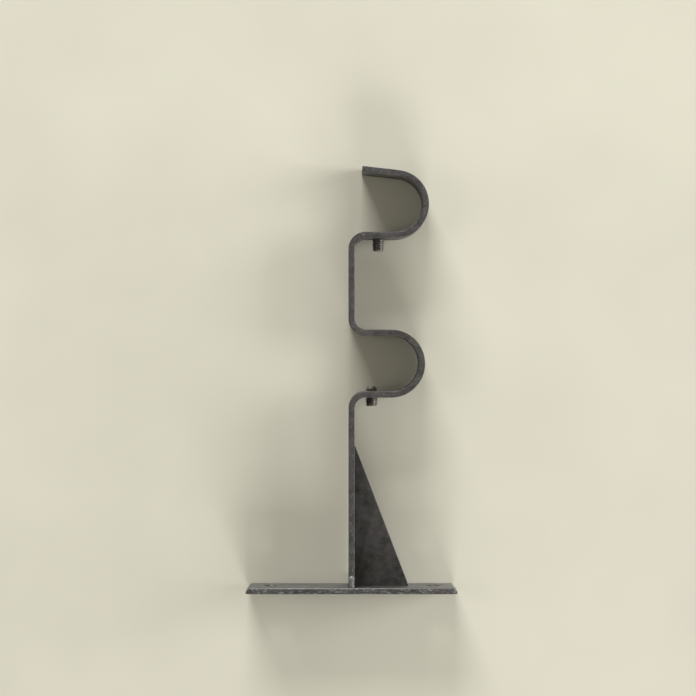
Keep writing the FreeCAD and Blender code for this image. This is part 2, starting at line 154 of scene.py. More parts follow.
def settle(obj):
    """Leave the object itself at the origin, with its place in its mesh."""
    pick(obj)
    bpy.ops.object.transform_apply(location=True, rotation=True, scale=True)


def finish_piece(obj, name, material, body, replaced, sharp=30):
    """Name a piece, give it its finish, hang it on its body and hide the frame's node it stands
    for.
    """
    settle(obj)
    obj.name = obj.data.name = name
    obj.data.materials.clear()
    obj.data.materials.append(material)
    bpy.ops.object.shade_smooth_by_angle(angle=math.radians(sharp))
    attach(obj, body)
    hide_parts(replaced)
    faces = len(obj.data.polygons)
    print(f"{name}: {faces} faces, {obj.dimensions.x / MM:.1f} x {obj.dimensions.y / MM:.1f} "
          f"x {obj.dimensions.z / MM:.1f} mm")


# %% [markdown]
# ## Finishes
# Black paint on bent steel is never one flat colour. It has clouds of warmer and cooler black, a
# faint orange peel, a few dust nibs, and thin paint along the edges. Each effect is a node group
# with inputs in millimetres, built once and placed in every material that needs it.


# %% Helpers that build node groups
def new_group(name, inputs, outputs):
    """An empty shader node group with named sockets; inputs are (name, type, default)."""
    group = bpy.data.node_groups.new(name, "ShaderNodeTree")
    for label, kind, default in inputs:
        socket = group.interface.new_socket(label, in_out="INPUT", socket_type=kind)
        if default is not None:
            socket.default_value = default
    for label, kind in outputs:
        group.interface.new_socket(label, in_out="OUTPUT", socket_type=kind)
    ends = group.nodes.new("NodeGroupInput"), group.nodes.new("NodeGroupOutput")
    return group, ends[0].outputs, ends[1].inputs


def add_node(tree, kind, inputs=None, **settings):
    """A node with its settings; each input is either a value or another node's output."""
    node = tree.nodes.new(kind)
    for name, value in settings.items():
        setattr(node, name, value)
    for key, value in (inputs or {}).items():
        if isinstance(value, bpy.types.NodeSocket):
            tree.links.new(value, node.inputs[key])
        else:
            node.inputs[key].default_value = value
    return node


def calculate(tree, operation, first, second=0.0):
    """One Math node, given back as its output."""
    return add_node(tree, "ShaderNodeMath", {0: first, 1: second}, operation=operation).outputs[0]


def stretch(tree, value, low, high, start=0.0, end=1.0):
    """Spread the part of a value between low and high over start to end, and clamp it."""
    node = add_node(tree, "ShaderNodeMapRange", {"Value": value, "From Min": low,
                    "From Max": high, "To Min": start, "To Max": end})
    return node.outputs[0]


def blend_colours(tree, share, first, second):
    """Mix two colours: a share of 0 gives the first and 1 the second."""
    node = add_node(tree, "ShaderNodeMix", {0: share, 6: first, 7: second}, data_type="RGBA")
    return node.outputs[2]


FLOAT, COLOUR, VECTOR = "NodeSocketFloat", "NodeSocketColor", "NodeSocketVector"
print("node helpers ready")

# %% [markdown]
# Clouds: a noise a few millimetres across drifts between two colours, and a finer one lays a
# tint over them here and there. Noise scale is one over the cloud's size, so the group turns
# metres into millimetres first.


# %% Group: paint clouds
def noise_of(tree, place, size, detail=3.0, roughness=0.5):
    """Noise whose clouds are about size millimetres across, given back as a value."""
    scale = calculate(tree, "DIVIDE", 1.0, size)
    node = add_node(tree, "ShaderNodeTexNoise", {"Vector": place, "Scale": scale,
                    "Detail": detail, "Roughness": roughness})
    return node.outputs["Fac"]


def in_millimetres(tree, place):
    """Object coordinates, which are metres, as millimetres."""
    node = add_node(tree, "ShaderNodeVectorMath", {0: place, "Scale": 1 / MM}, operation="SCALE")
    return node.outputs[0]


paint_clouds, given, result = new_group(
    "paint_clouds",
    [("Place", VECTOR, None), ("Deep", COLOUR, (0.02, 0.02, 0.02, 1)),
     ("Pale", COLOUR, (0.04, 0.04, 0.04, 1)), ("Tint", COLOUR, (0.04, 0.03, 0.03, 1)),
     ("Cloud size", FLOAT, 5.0), ("Tint size", FLOAT, 2.0), ("Tint share", FLOAT, 0.3)],
    [("Color", COLOUR)])
place_mm = in_millimetres(paint_clouds, given["Place"])
clouds = noise_of(paint_clouds, place_mm, given["Cloud size"])
tints = noise_of(paint_clouds, place_mm, given["Tint size"])
base = blend_colours(paint_clouds, stretch(paint_clouds, clouds, 0.35, 0.65),
                     given["Deep"], given["Pale"])
tint_share = calculate(paint_clouds, "MULTIPLY", stretch(paint_clouds, tints, 0.45, 0.7),
                       given["Tint share"])
paint_clouds.links.new(blend_colours(paint_clouds, tint_share, base, given["Tint"]), result[0])
print("group:", paint_clouds.name)

# %% [markdown]
# Skin: sprayed paint dries with orange peel, dimples under a millimetre wide, and it follows the
# hammered waves of the steel below. Both are heights for a Bump node.

# %% Group: paint skin
paint_skin, given, result = new_group(
    "paint_skin",
    [("Place", VECTOR, None), ("Peel size", FLOAT, 0.5), ("Wave size", FLOAT, 4.0),
     ("Wave share", FLOAT, 0.6)],
    [("Height", FLOAT)])
place_mm = in_millimetres(paint_skin, given["Place"])
peel = noise_of(paint_skin, place_mm, given["Peel size"], detail=2.0)
wave = noise_of(paint_skin, place_mm, given["Wave size"], detail=3.0)
wave_part = calculate(paint_skin, "MULTIPLY", wave, given["Wave share"])
peel_part = calculate(paint_skin, "MULTIPLY", peel,
                      calculate(paint_skin, "SUBTRACT", 1.0, given["Wave share"]))
paint_skin.links.new(calculate(paint_skin, "ADD", wave_part, peel_part), result[0])
print("group:", paint_skin.name)

# %% [markdown]
# Nibs: dust that settled in the wet paint, and tiny chips. A Voronoi pattern gives one point a
# cell, and only the cells whose random number lies below a share keep theirs.

# %% Group: nibs
nibs, given, result = new_group(
    "nibs",
    [("Place", VECTOR, None), ("Spacing", FLOAT, 1.5), ("Nib size", FLOAT, 0.2),
     ("Share", FLOAT, 0.3)],
    [("Mask", FLOAT)])
place_mm = in_millimetres(nibs, given["Place"])
cells = add_node(nibs, "ShaderNodeTexVoronoi",
                 {"Vector": place_mm, "Scale": calculate(nibs, "DIVIDE", 1.0, given["Spacing"])})
reach = calculate(nibs, "MULTIPLY", cells.outputs["Distance"], given["Spacing"])
inside = calculate(nibs, "DIVIDE", reach, given["Nib size"])
dot = stretch(nibs, inside, 0.6, 1.0, 1.0, 0.0)
number = add_node(nibs, "ShaderNodeSeparateColor", {"Color": cells.outputs["Color"]})
kept = calculate(nibs, "LESS_THAN", number.outputs[0], given["Share"])
nibs.links.new(calculate(nibs, "MULTIPLY", dot, kept), result[0])
print("group:", nibs.name)

# %% [markdown]
# Edges: paint pulls thin over a sharp edge and rubs off there first. The Bevel node gives the
# normal of a rounded edge, and where that differs from the true normal there is an edge close by.
# Noise breaks the line up, so that it doesn't look drawn.

# %% Group: edge wear
edge_wear, given, result = new_group(
    "edge_wear",
    [("Place", VECTOR, None), ("Width", FLOAT, 0.4), ("Break size", FLOAT, 1.2)],
    [("Mask", FLOAT)])
width = calculate(edge_wear, "MULTIPLY", given["Width"], MM)
rounded = add_node(edge_wear, "ShaderNodeBevel", {"Radius": width}, samples=4)
true_normal = add_node(edge_wear, "ShaderNodeNewGeometry")
agree = add_node(edge_wear, "ShaderNodeVectorMath",
                 {0: rounded.outputs[0], 1: true_normal.outputs["Normal"]}, operation="DOT_PRODUCT")
edge = stretch(edge_wear, agree.outputs["Value"], 0.99, 0.85)
broken = stretch(edge_wear, noise_of(edge_wear, in_millimetres(edge_wear, given["Place"]),
                                     given["Break size"]), 0.42, 0.62)
edge_wear.links.new(calculate(edge_wear, "MULTIPLY", edge, broken), result[0])
print("group:", edge_wear.name)

# %% [markdown]
# Sheared edges: strip and plate are cut from wider stock, and a cut edge stays rough under its
# paint. All of them face along Y here, so the surface's normal finds them, and a grain of two
# sizes roughens them. Where the paint lays its pale grey over this grain, the specks are partly
# painted glints of the rough steel.

# %% Group: sheared edges
sheared_edge, given, result = new_group(
    "sheared_edge",
    [("Place", VECTOR, None), ("Grain size", FLOAT, 0.5), ("Draw", VECTOR, (1, 1, 1))],
    [("Mask", FLOAT)])
facing = add_node(sheared_edge, "ShaderNodeSeparateXYZ",
                  {0: add_node(sheared_edge, "ShaderNodeTexCoord").outputs["Normal"]})
along_y = stretch(sheared_edge, calculate(sheared_edge, "ABSOLUTE", facing.outputs[1]), 0.8, 0.95)
drawn = add_node(sheared_edge, "ShaderNodeVectorMath",
                 {0: in_millimetres(sheared_edge, given["Place"]), 1: given["Draw"]},
                 operation="MULTIPLY")
place_mm = drawn.outputs[0]
coarse = noise_of(sheared_edge, place_mm, calculate(sheared_edge, "MULTIPLY",
                                                    given["Grain size"], 3.0), detail=2.0)
fine = noise_of(sheared_edge, place_mm, given["Grain size"], detail=3.0, roughness=0.6)
speckle = calculate(sheared_edge, "MULTIPLY", stretch(sheared_edge, fine, 0.50, 0.64),
                    stretch(sheared_edge, coarse, 0.38, 0.62, 0.2, 1.0))
sheared_edge.links.new(calculate(sheared_edge, "MULTIPLY", speckle, along_y), result[0])
print("group:", sheared_edge.name)

# %% [markdown]
# ## The materials
# Each finish has its own shader, and the groups feed only what changes over the surface. Numbers
# that are the same all over, such as the coat's weight, sit on the shader itself.


# %% A helper that starts a material
def new_material(name):
    """A material with its tree, its shader and its object coordinates."""
    material = bpy.data.materials.new(name)
    material.use_nodes = True
    tree = material.node_tree
    place = tree.nodes.new("ShaderNodeTexCoord").outputs["Object"]
    return material, tree, tree.nodes["Principled BSDF"], place


def use_group(tree, group, inputs):
    """A node group placed in a material, given back as its first output."""
    return add_node(tree, "ShaderNodeGroup", inputs, node_tree=group).outputs[0]


def grey(value, warmth=0.0):
    """A linear grey, a little warmer or cooler."""
    return (value * (1 + warmth), value, value * (1 - warmth), 1)


print("material helpers ready")

# %% [markdown]
# Three steps come back from finish to finish. A second colour is laid over the first where a mask
# says so. The roughness drifts between two values, as handling leaves it. And heights become a
# bump of a known depth.


# %% Helpers for colour, gloss and relief
def lay_over(tree, colour, mask, strength, over):
    """Lay a second colour over a first where a mask is high."""
    return blend_colours(tree, calculate(tree, "MULTIPLY", mask, strength), colour, over)


def smudge_gloss(tree, shader, place, size, low, high, detail=3.0):
    """Let the roughness drift between two values, in smudges of a size in millimetres."""
    smudge = noise_of(tree, in_millimetres(tree, place), size, detail)
    tree.links.new(stretch(tree, smudge, 0.3, 0.7, low, high), shader.inputs["Roughness"])


def raise_skin(tree, shader, height, depth):
    """Turn heights from 0 to 1 into a bump of a depth in metres."""
    bump = add_node(tree, "ShaderNodeBump", {"Height": height, "Strength": 1.0,
                    "Distance": depth})
    tree.links.new(bump.outputs[0], shader.inputs["Normal"])


print("finish helpers ready")

# %% [markdown]
# The colour of black paint comes in layers: clouds, a wider drift of olive black, pale grain on
# the sheared edges that is partly painted glints, thin spots along the rims, and nibs on top.

# %% The colour of black paint
DEEP_BLACK, PALE_BLACK = grey(0.019, 0.05), grey(0.050, 0.03)
VIOLET_BLACK, OLIVE_BLACK = (0.066, 0.054, 0.066, 1), (0.058, 0.056, 0.042, 1)
# The grain's pale grey is partly a painted glint on the rough cut edges.
GRAIN_AND_GLINT_GREY, RIM_GREY, NIB_GREY = grey(0.30, 0.01), grey(0.11, 0.03), grey(0.30, 0.02)
DRIFT_STRENGTH, NIB_STRENGTH = 0.35, 0.8


def paint_colour(tree, place, grain, nib, edge_grain_and_glints, wear):
    """The layers of satin black, from the clouds up to the nibs."""
    clouds = use_group(tree, paint_clouds, {
        "Place": place, "Deep": DEEP_BLACK, "Pale": PALE_BLACK, "Tint": VIOLET_BLACK,
        "Cloud size": 3.5, "Tint size": 2.2, "Tint share": 0.6})
    drift = use_group(tree, paint_clouds, {
        "Place": place, "Deep": grey(0.0), "Pale": grey(1.0), "Tint": grey(0.5),
        "Cloud size": 9.0, "Tint size": 3.1, "Tint share": 0.4})
    worn = use_group(tree, edge_wear, {"Place": place, "Width": 0.35, "Break size": 1.1})
    colour = lay_over(tree, clouds, drift, DRIFT_STRENGTH, OLIVE_BLACK)
    # Pale specks on the cut edges: rough grain, partly painted glints of the steel.
    colour = lay_over(tree, colour, grain, edge_grain_and_glints, GRAIN_AND_GLINT_GREY)
    colour = lay_over(tree, colour, worn, wear, RIM_GREY)
    return lay_over(tree, colour, nib, NIB_STRENGTH, NIB_GREY)


print("paint layers ready")

# %% [markdown]
# Black paint: satin, so the highlights are broad. A thin clear coat gives the slight gloss that
# the flat faces show. The strip's edges are nearly smooth, those of the wall plate are roughly
# sheared, and the gusset's faces along Y are flat sheet, so one recipe makes three materials.

# %% Materials: black paint
PAINT_DEPTH = 0.12 * MM
NIB_RISE = 0.3


def make_paint(name, edge_grain_and_glints, wear, coat=0.12, draw=(1, 1, 1)):
    """Satin black paint. edge_grain_and_glints sets how rough the cut edges are and their painted
    glints; wear sets the rubbed rims.
    """
    material, tree, shader, place = new_material(name)
    grain = use_group(tree, sheared_edge, {"Place": place, "Grain size": 0.6, "Draw": draw})
    nib = use_group(tree, nibs, {"Place": place, "Spacing": 1.5, "Nib size": 0.17,
                                 "Share": 0.25})
    tree.links.new(paint_colour(tree, place, grain, nib, edge_grain_and_glints, wear),
                   shader.inputs["Base Color"])
    smudge_gloss(tree, shader, place, size=5.0, low=0.40, high=0.62, detail=4.0)
    skin = use_group(tree, paint_skin, {
        "Place": place, "Peel size": 0.5, "Wave size": 3.0, "Wave share": 0.6})
    height = calculate(tree, "ADD", skin, calculate(tree, "MULTIPLY", nib, NIB_RISE))
    height = calculate(tree, "ADD", height, calculate(tree, "MULTIPLY", grain, edge_grain_and_glints))
    raise_skin(tree, shader, height, PAINT_DEPTH)
    shader.inputs["Coat Weight"].default_value = coat
    shader.inputs["Coat Roughness"].default_value = 0.3
    print("material:", material.name)
    return material


black_paint = make_paint("black_paint", edge_grain_and_glints=0.35, wear=0.15)
plate_paint = make_paint("black_plate_paint", edge_grain_and_glints=0.7, wear=0.4, coat=0.3,
                         draw=(1, 1, 0.45))
sheet_paint = make_paint("black_sheet_paint", edge_grain_and_glints=0.0, wear=0.3)

# %% [markdown]
# Painted weld: the same paint lies thick and shiny on a weld. Its greys are lighter than the
# strip's black, partly a painted highlight on the shiny lumps, and small patches are rubbed grey.

# %% Material: painted weld
WELD_SKIN_DEPTH = 0.035 * MM
painted_weld, tree, shader, place = new_material("painted_weld")
# Light greys: partly a painted highlight on the shiny blob, partly paint rubbed grey.
cloud_colour = use_group(tree, paint_clouds, {
    "Place": place, "Deep": grey(0.075), "Pale": grey(0.14), "Tint": grey(0.24, -0.02),
    "Cloud size": 1.3, "Tint size": 0.9, "Tint share": 0.7})
tree.links.new(cloud_colour, shader.inputs["Base Color"])
smudge_gloss(tree, shader, place, size=1.0, low=0.36, high=0.55)
skin = use_group(tree, paint_skin, {
    "Place": place, "Peel size": 0.4, "Wave size": 1.4, "Wave share": 0.7})
raise_skin(tree, shader, skin, WELD_SKIN_DEPTH)
shader.inputs["Coat Weight"].default_value = 0.25
shader.inputs["Coat Roughness"].default_value = 0.28
print("material:", painted_weld.name)

# %% [markdown]
# Blackened steel: the grub screws are not painted but chemically blackened and oiled. The tapped
# hole has rubbed their thread crests bright, and the key the socket's rim.

# %% Material: blackened steel
RUBBED_STEEL, RUB_STRENGTH = grey(0.30, 0.03), 0.5
STEEL_SKIN_DEPTH = 0.01 * MM
blackened_steel, tree, shader, place = new_material("blackened_steel")
cloud_colour = use_group(tree, paint_clouds, {
    "Place": place, "Deep": grey(0.125, 0.06), "Pale": grey(0.20, 0.06),
    "Tint": (0.24, 0.21, 0.14, 1), "Cloud size": 1.5, "Tint size": 0.6, "Tint share": 0.6})
worn = use_group(tree, edge_wear, {"Place": place, "Width": 0.12, "Break size": 0.5})
rubbed = lay_over(tree, cloud_colour, worn, RUB_STRENGTH, RUBBED_STEEL)
tree.links.new(rubbed, shader.inputs["Base Color"])
smudge_gloss(tree, shader, place, size=1.5, low=0.40, high=0.58)
skin = use_group(tree, paint_skin, {
    "Place": place, "Peel size": 0.15, "Wave size": 0.6, "Wave share": 0.4})
raise_skin(tree, shader, skin, STEEL_SKIN_DEPTH)
shader.inputs["Metallic"].default_value = 1.0
print("material:", blackened_steel.name)

# %% [markdown]
# ## The bent strip
# In the factory a flat bar is bent round pins. It could be modelled from a curve, but spinning
# its end face round each pin's centre is what the press does, and it keeps every bend a true arc.
# The section comes first: a small plane at the wall plate, its corners rounded.

# %% The strip's section
EDGE_ROUND = 0.25 * MM
ALONG_X = (0, math.radians(90), 0)  # turns a new primitive's own axis to X
bpy.ops.mesh.primitive_plane_add(size=1, location=(PLATE_FRONT, 0, 0), rotation=ALONG_X)
strip = bpy.context.object
strip.scale = (GAUGE, 2 * STRIP_SIDE, 1)
settle(strip)
open_mesh(strip, "VERT")
bpy.ops.mesh.select_all(action="SELECT")
bpy.ops.mesh.bevel(offset=EDGE_ROUND, segments=3, affect="VERTICES")
select_where(strip, "EDGE", lambda edge: edge.calc_length() > 2 * GAUGE)
bpy.ops.mesh.subdivide(number_cuts=11)
bpy.ops.mesh.select_mode(type="FACE")
bpy.ops.mesh.select_all(action="SELECT")
print("section corners:", len(bmesh.from_edit_mesh(strip.data).verts))

# %% [markdown]
# Two moves make the whole strip: a straight run, which extrudes the end face in equal steps, and
# a bend, which spins it round a point. The end face stays selected after each, so the next move
# goes on from there.

# %% Run and bend
RUN_STEP = 1.5 * MM
BEND_STEP = math.radians(6)
UP, OUT = Vector((0, 0, 1)), Vector((1, 0, 0))
CORNER_TURN = CORNER_RADIUS + GAUGE / 2
CUP_TURN = SEAT_RADIUS + GAUGE / 2


def run(direction, length):
    """Extrude the end face along a straight stretch."""
    steps = max(1, round(length / RUN_STEP))
    bpy.ops.mesh.extrude_repeat(steps=steps, offset=direction * (length / steps))


def bend(centre_x, centre_z, angle):
    """Spin the end face round a pin that lies along Y."""
    bpy.ops.mesh.spin(steps=round(abs(angle) / BEND_STEP), angle=angle,
                      center=(centre_x, 0, centre_z), axis=(0, 1, 0))


# %% [markdown]
# Now the strip is bent in the order that it leaves the wall: arm, corner, down into the rear cup,
# up again, corner, bridge, corner, front cup and the free leg that leans outwards.

# %% Bend the strip
QUARTER = math.radians(90)
rear_leg = -REAR_POLE.z - CORNER_TURN
front_leg = -FRONT_POLE.z - CORNER_TURN
rear_start = REAR_POLE.x - CUP_TURN - CORNER_TURN
rear_end = REAR_POLE.x + CUP_TURN + CORNER_TURN
front_start = FRONT_POLE.x - CUP_TURN - CORNER_TURN
run(OUT, rear_start - PLATE_FRONT)
bend(rear_start, -CORNER_TURN, -QUARTER)
run(-UP, rear_leg)
bend(REAR_POLE.x, REAR_POLE.z, 2 * QUARTER)
run(UP, rear_leg)
bend(rear_end, -CORNER_TURN, -QUARTER)
run(OUT, front_start - rear_end)
bend(front_start, -CORNER_TURN, -QUARTER)
run(-UP, front_leg)
bend(FRONT_POLE.x, FRONT_POLE.z, 2 * QUARTER - FREE_LEG_LEAN)
lean = Vector((math.sin(FREE_LEG_LEAN), 0, math.cos(FREE_LEG_LEAN)))
free_rise = -FREE_LEG_DROP - (FRONT_POLE.z - CUP_TURN * math.sin(FREE_LEG_LEAN))
run(lean, free_rise / lean.z - EDGE_ROUND)
print(f"cups {2 * SEAT_RADIUS / MM:.1f} mm wide, free leg {free_rise / MM:.1f} mm high")

# %% [markdown]
# The free end is sheared and dressed, so its rim is rounded too: three small insets that each
# rise a little less than the one before.

# %% Round the free end
ROUND_STEPS = 3
INWARD_SHARE = 0.95  # at 1 the rounded corners would close to a point
for step in range(ROUND_STEPS):
    start, end = (math.radians(90 * k / ROUND_STEPS) for k in (step, step + 1))
    inward = EDGE_ROUND * INWARD_SHARE * (math.cos(start) - math.cos(end))
    bpy.ops.mesh.inset(thickness=inward, depth=EDGE_ROUND * (math.sin(end) - math.sin(start)))
bpy.ops.mesh.select_all(action="SELECT")
bpy.ops.mesh.normals_make_consistent(inside=False)
close_mesh()
print("strip faces:", len(strip.data.polygons))

# %% [markdown]
# Bar stock is not dead flat, and bending marks it. A Displace modifier pushes the surface in and
# out by a few hundredths of a millimetre, which shows only in the way the highlights waver.

# %% Waver the strip's faces
WAVE_WIDTH, WAVE_HEIGHT = 5 * MM, 0.10 * MM
steel_waves = bpy.data.textures.new("steel_waves", "CLOUDS")
steel_waves.noise_scale = WAVE_WIDTH
steel_waves.noise_depth = 2
apply_modifier(strip, "DISPLACE", texture=steel_waves, texture_coords="LOCAL",
               strength=WAVE_HEIGHT, mid_level=0.5)
print(f"waves of {WAVE_WIDTH / MM:.0f} mm on the strip")

# %% [markdown]
# Each cup has a tapped hole in its wall-side leg. The cutter is a short cylinder that flares at
# both faces of the strip, which leaves the broken edge that a tap needs.


# %% A flared cutter
def flared_cutter(place, radius, chamfer, depth):
    """A cylinder along X that widens by a chamfer at both faces of a wall of that depth."""
    bpy.ops.mesh.primitive_cylinder_add(vertices=48, radius=radius, depth=depth - 2 * chamfer,
                                        location=place, rotation=ALONG_X)
    cutter = bpy.context.object
    settle(cutter)
    open_mesh(cutter)
    for side in (-1, 1):
        select_where(cutter, "FACE", lambda face: face.normal.x * side > 0.9)
        bpy.ops.mesh.extrude_region_move(
            TRANSFORM_OT_translate={"value": (side * chamfer, 0, 0)})
        wider = (radius + chamfer) / radius
        bpy.ops.transform.resize(value=(1, wider, wider))
        bpy.ops.mesh.extrude_region_move(
            TRANSFORM_OT_translate={"value": (side * depth / 2, 0, 0)})
    close_mesh()
    return cutter


# %% Cut the tapped holes
HOLE_CLEARANCE = 0.05 * MM
HOLE_FLARE = 0.25 * MM
for node, pole in (("rear_grub_screw", REAR_POLE), ("front_grub_screw", FRONT_POLE)):
    low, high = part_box(node)
    radius = (high.y - low.y) / 2 + HOLE_CLEARANCE
    middle = Vector((pole.x - CUP_TURN, 0, (low.z + high.z) / 2))
    carve(strip, flared_cutter(middle, radius, HOLE_FLARE, GAUGE))
    print(f"hole for {node}: {2 * radius / MM:.1f} mm at x {middle.x / MM:.1f} mm")
finish_piece(strip, "bent_strip", black_paint, "bracket", "arm_strip")

# %% [markdown]
# ## The wall plate and the gusset
# These two are flat plates whose form is already right in the frame. What a drawing leaves out is
# the rounding that shears, tumbling and paint give every edge. A CAD mesh is loose triangles, so
# a copy of it is merged, its flat faces are made whole, and then its edges are bevelled.


# %% A copy with soft edges
def softened_copy(node, width):
    """A copy of a frame node, merged and bevelled along its sharp edges."""
    copy = bpy.data.objects.new(node + "_copy", nodes[node].data.copy())
    bpy.context.scene.collection.objects.link(copy)
    open_mesh(copy)
    bpy.ops.mesh.select_all(action="SELECT")
    bpy.ops.mesh.remove_doubles(threshold=0.001 * MM)
    bpy.ops.mesh.dissolve_limited(angle_limit=math.radians(0.5))
    bpy.ops.mesh.customdata_custom_splitnormals_clear()
    close_mesh()
    apply_modifier(copy, "BEVEL", width=width, segments=3, limit_method="ANGLE",
                   angle_limit=math.radians(30))
    return copy


# %% Soften the plate and the gusset
PLATE_EDGE, GUSSET_EDGE = 0.3 * MM, 0.2 * MM
plate = softened_copy("wall_plate", PLATE_EDGE)
finish_piece(plate, "painted_wall_plate", plate_paint, "bracket", "wall_plate")
gusset = softened_copy("gusset", GUSSET_EDGE)
finish_piece(gusset, "painted_gusset", sheet_paint, "bracket", "gusset")

# %% [markdown]
# ## The grub screws
# A grub screw is an M5 thread all the way, with a hexagon socket in one end and a cup point on the
# other. A Screw modifier turns one tooth of the thread into a helix, bisecting trims its two ends,
# and a few cutters make the point and the socket.

# %% One tooth of the thread
PITCH = 0.8 * MM
THREAD_DEPTH = 0.49 * MM
CREST_FLAT = PITCH / 8
ROOT_FLAT = PITCH / 4
screw_low, screw_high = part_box("rear_grub_screw")
SCREW_LENGTH = screw_high.x - screw_low.x
SCREW_RADIUS = (screw_high.y - screw_low.y) / 2
SPARE_TURNS = 4
TURNS = round(SCREW_LENGTH / PITCH) + SPARE_TURNS
TURN_STEPS = 40
flank = (PITCH - CREST_FLAT - ROOT_FLAT) / 2
tooth = [(0, SCREW_RADIUS - THREAD_DEPTH), (ROOT_FLAT, SCREW_RADIUS - THREAD_DEPTH),
         (ROOT_FLAT + flank, SCREW_RADIUS), (ROOT_FLAT + flank + CREST_FLAT, SCREW_RADIUS),
         (PITCH, SCREW_RADIUS - THREAD_DEPTH)]
print(f"M{2 * SCREW_RADIUS / MM:.0f} screw, pitch {PITCH / MM} mm, {TURNS - SPARE_TURNS} turns")


# %% A threaded rod
def trim(obj, place, outward):
    """Cut off what lies beyond a plane and close the cut."""
    open_mesh(obj)
    bpy.ops.mesh.select_all(action="SELECT")
    bpy.ops.mesh.bisect(plane_co=place, plane_no=outward, use_fill=True, clear_outer=True,
                        threshold=0.0001 * MM)
    close_mesh()


def threaded_rod():
    """A closed rod along X, threaded all over, half a turn longer than the screw at each end."""
    bpy.ops.mesh.primitive_plane_add(size=1)
    rod = bpy.context.object
    open_mesh(rod)
    bpy.ops.mesh.select_all(action="SELECT")
    bpy.ops.mesh.delete(type="VERT")
    mesh = bmesh.from_edit_mesh(rod.data)
    corners = [mesh.verts.new((along - SPARE_TURNS / 2 * PITCH, 0, out)) for along, out in tooth]
    for first, second in zip(corners, corners[1:]):
        mesh.edges.new((first, second))
    bmesh.update_edit_mesh(rod.data)
    close_mesh()
    apply_modifier(rod, "SCREW", axis="X", angle=math.radians(360), screw_offset=PITCH,
                   iterations=TURNS, steps=TURN_STEPS, render_steps=TURN_STEPS)
    open_mesh(rod)
    bpy.ops.mesh.select_all(action="SELECT")
    bpy.ops.mesh.remove_doubles(threshold=0.002 * MM)
    close_mesh()
    trim(rod, (-PITCH / 2, 0, 0), (-1, 0, 0))
    trim(rod, (SCREW_LENGTH + PITCH / 2, 0, 0), (1, 0, 0))
    open_mesh(rod)
    bpy.ops.mesh.select_all(action="SELECT")
    bpy.ops.mesh.normals_make_consistent(inside=False)
    close_mesh()
    return rod


rod = threaded_rod()
print("thread faces:", len(rod.data.polygons))

# %% [markdown]
# The ends: a turned blank with a chamfer at the socket end and a 45 degree point at the other
# trims the thread to length. It is a hair wider than the crests, because two surfaces in the
# same place make a Boolean leave slivers. The point is hollowed into a cup, which bites into
# the pole.

# %% Point and cup
SOCKET_CHAMFER, POINT_CHAMFER = 0.6 * MM, 1.0 * MM
BLANK_ALLOWANCE = 0.03 * MM
bpy.ops.mesh.primitive_cylinder_add(vertices=80, radius=SCREW_RADIUS + BLANK_ALLOWANCE,
                                    depth=SCREW_LENGTH, location=(SCREW_LENGTH / 2, 0, 0),
                                    rotation=ALONG_X)
blank = bpy.context.object
settle(blank)
open_mesh(blank)
for chamfer, end in ((SOCKET_CHAMFER, 0.0), (POINT_CHAMFER, SCREW_LENGTH)):
    select_where(blank, "EDGE", lambda edge: all(abs(v.co.x - end) < 0.01 * MM
                                                 for v in edge.verts))
    bpy.ops.mesh.bevel(offset=chamfer, segments=1)
close_mesh()
carve(rod, blank, "INTERSECT")
CUP_RADIUS, CUP_DEPTH = 1.2 * MM, 0.6 * MM
ball = (CUP_RADIUS ** 2 + CUP_DEPTH ** 2) / (2 * CUP_DEPTH)
bpy.ops.mesh.primitive_uv_sphere_add(segments=48, ring_count=24, radius=ball, rotation=ALONG_X,
                                     location=(SCREW_LENGTH + ball - CUP_DEPTH, 0, 0))
carve(rod, bpy.context.object)
print("cup point:", 2 * CUP_RADIUS / MM, "mm wide")

# %% [markdown]
# The socket is drilled first and then broached to a hexagon, so it ends in the drill's cone. A
# small flare at its mouth guides the key. Each cone starts a hundredth or two of a millimetre
# before the face that it cuts, so that no thin skin is left there.

# %% Hexagon socket
ACROSS_FLATS = 2.5 * MM
SOCKET_DEPTH = 3.0 * MM
DRILL_RADIUS = ACROSS_FLATS / 2 * 0.98
DRILL_CONE = 0.7 * MM
FLARE_RADIUS, FLARE_DEPTH = ACROSS_FLATS * 0.64, ACROSS_FLATS * 0.5
DRILL_OVERLAP, FLARE_OVERLAP = 0.01 * MM, 0.02 * MM
bpy.ops.mesh.primitive_cylinder_add(vertices=6, radius=ACROSS_FLATS / math.sqrt(3),
                                    depth=2 * SOCKET_DEPTH, rotation=ALONG_X)
carve(rod, bpy.context.object)
bpy.ops.mesh.primitive_cone_add(vertices=36, radius1=DRILL_RADIUS, radius2=0,
                                depth=DRILL_CONE, rotation=ALONG_X,
                                location=(SOCKET_DEPTH + DRILL_CONE / 2 - DRILL_OVERLAP, 0, 0))
carve(rod, bpy.context.object)
bpy.ops.mesh.primitive_cone_add(vertices=36, radius1=FLARE_RADIUS, radius2=0,
                                depth=FLARE_DEPTH, rotation=ALONG_X,
                                location=(FLARE_DEPTH / 2 - FLARE_OVERLAP, 0, 0))
carve(rod, bpy.context.object)
print("socket:", ACROSS_FLATS / MM, "mm across flats")

# %% [markdown]
# Two screws are needed. Each is a copy of the rod, turned to its own angle, for no two stop at
# the same one, and put where the frame has its grub screw.

# %% Place the two screws
for node, body, name, turned in (("rear_grub_screw", "rear_screw", "rear_threaded_screw", 20),
                                 ("front_grub_screw", "front_screw", "front_threaded_screw", -35)):
    low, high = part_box(node)
    pick(rod)
    bpy.ops.object.duplicate()
    screw = bpy.context.object
    screw.rotation_euler = (math.radians(turned), 0, 0)
    screw.location = (low.x, (low.y + high.y) / 2, (low.z + high.z) / 2)
    finish_piece(screw, name, blackened_steel, body, node, sharp=25)
bpy.data.objects.remove(rod)

# %% [markdown]
# ## The welds
# A short weld is a row of overlapping puddles that froze one after the other. Each puddle is a
# squashed ball. Joined, remeshed and smoothed they melt into one bead with ripples, which is then
# cut flush with the metal that it sits on.


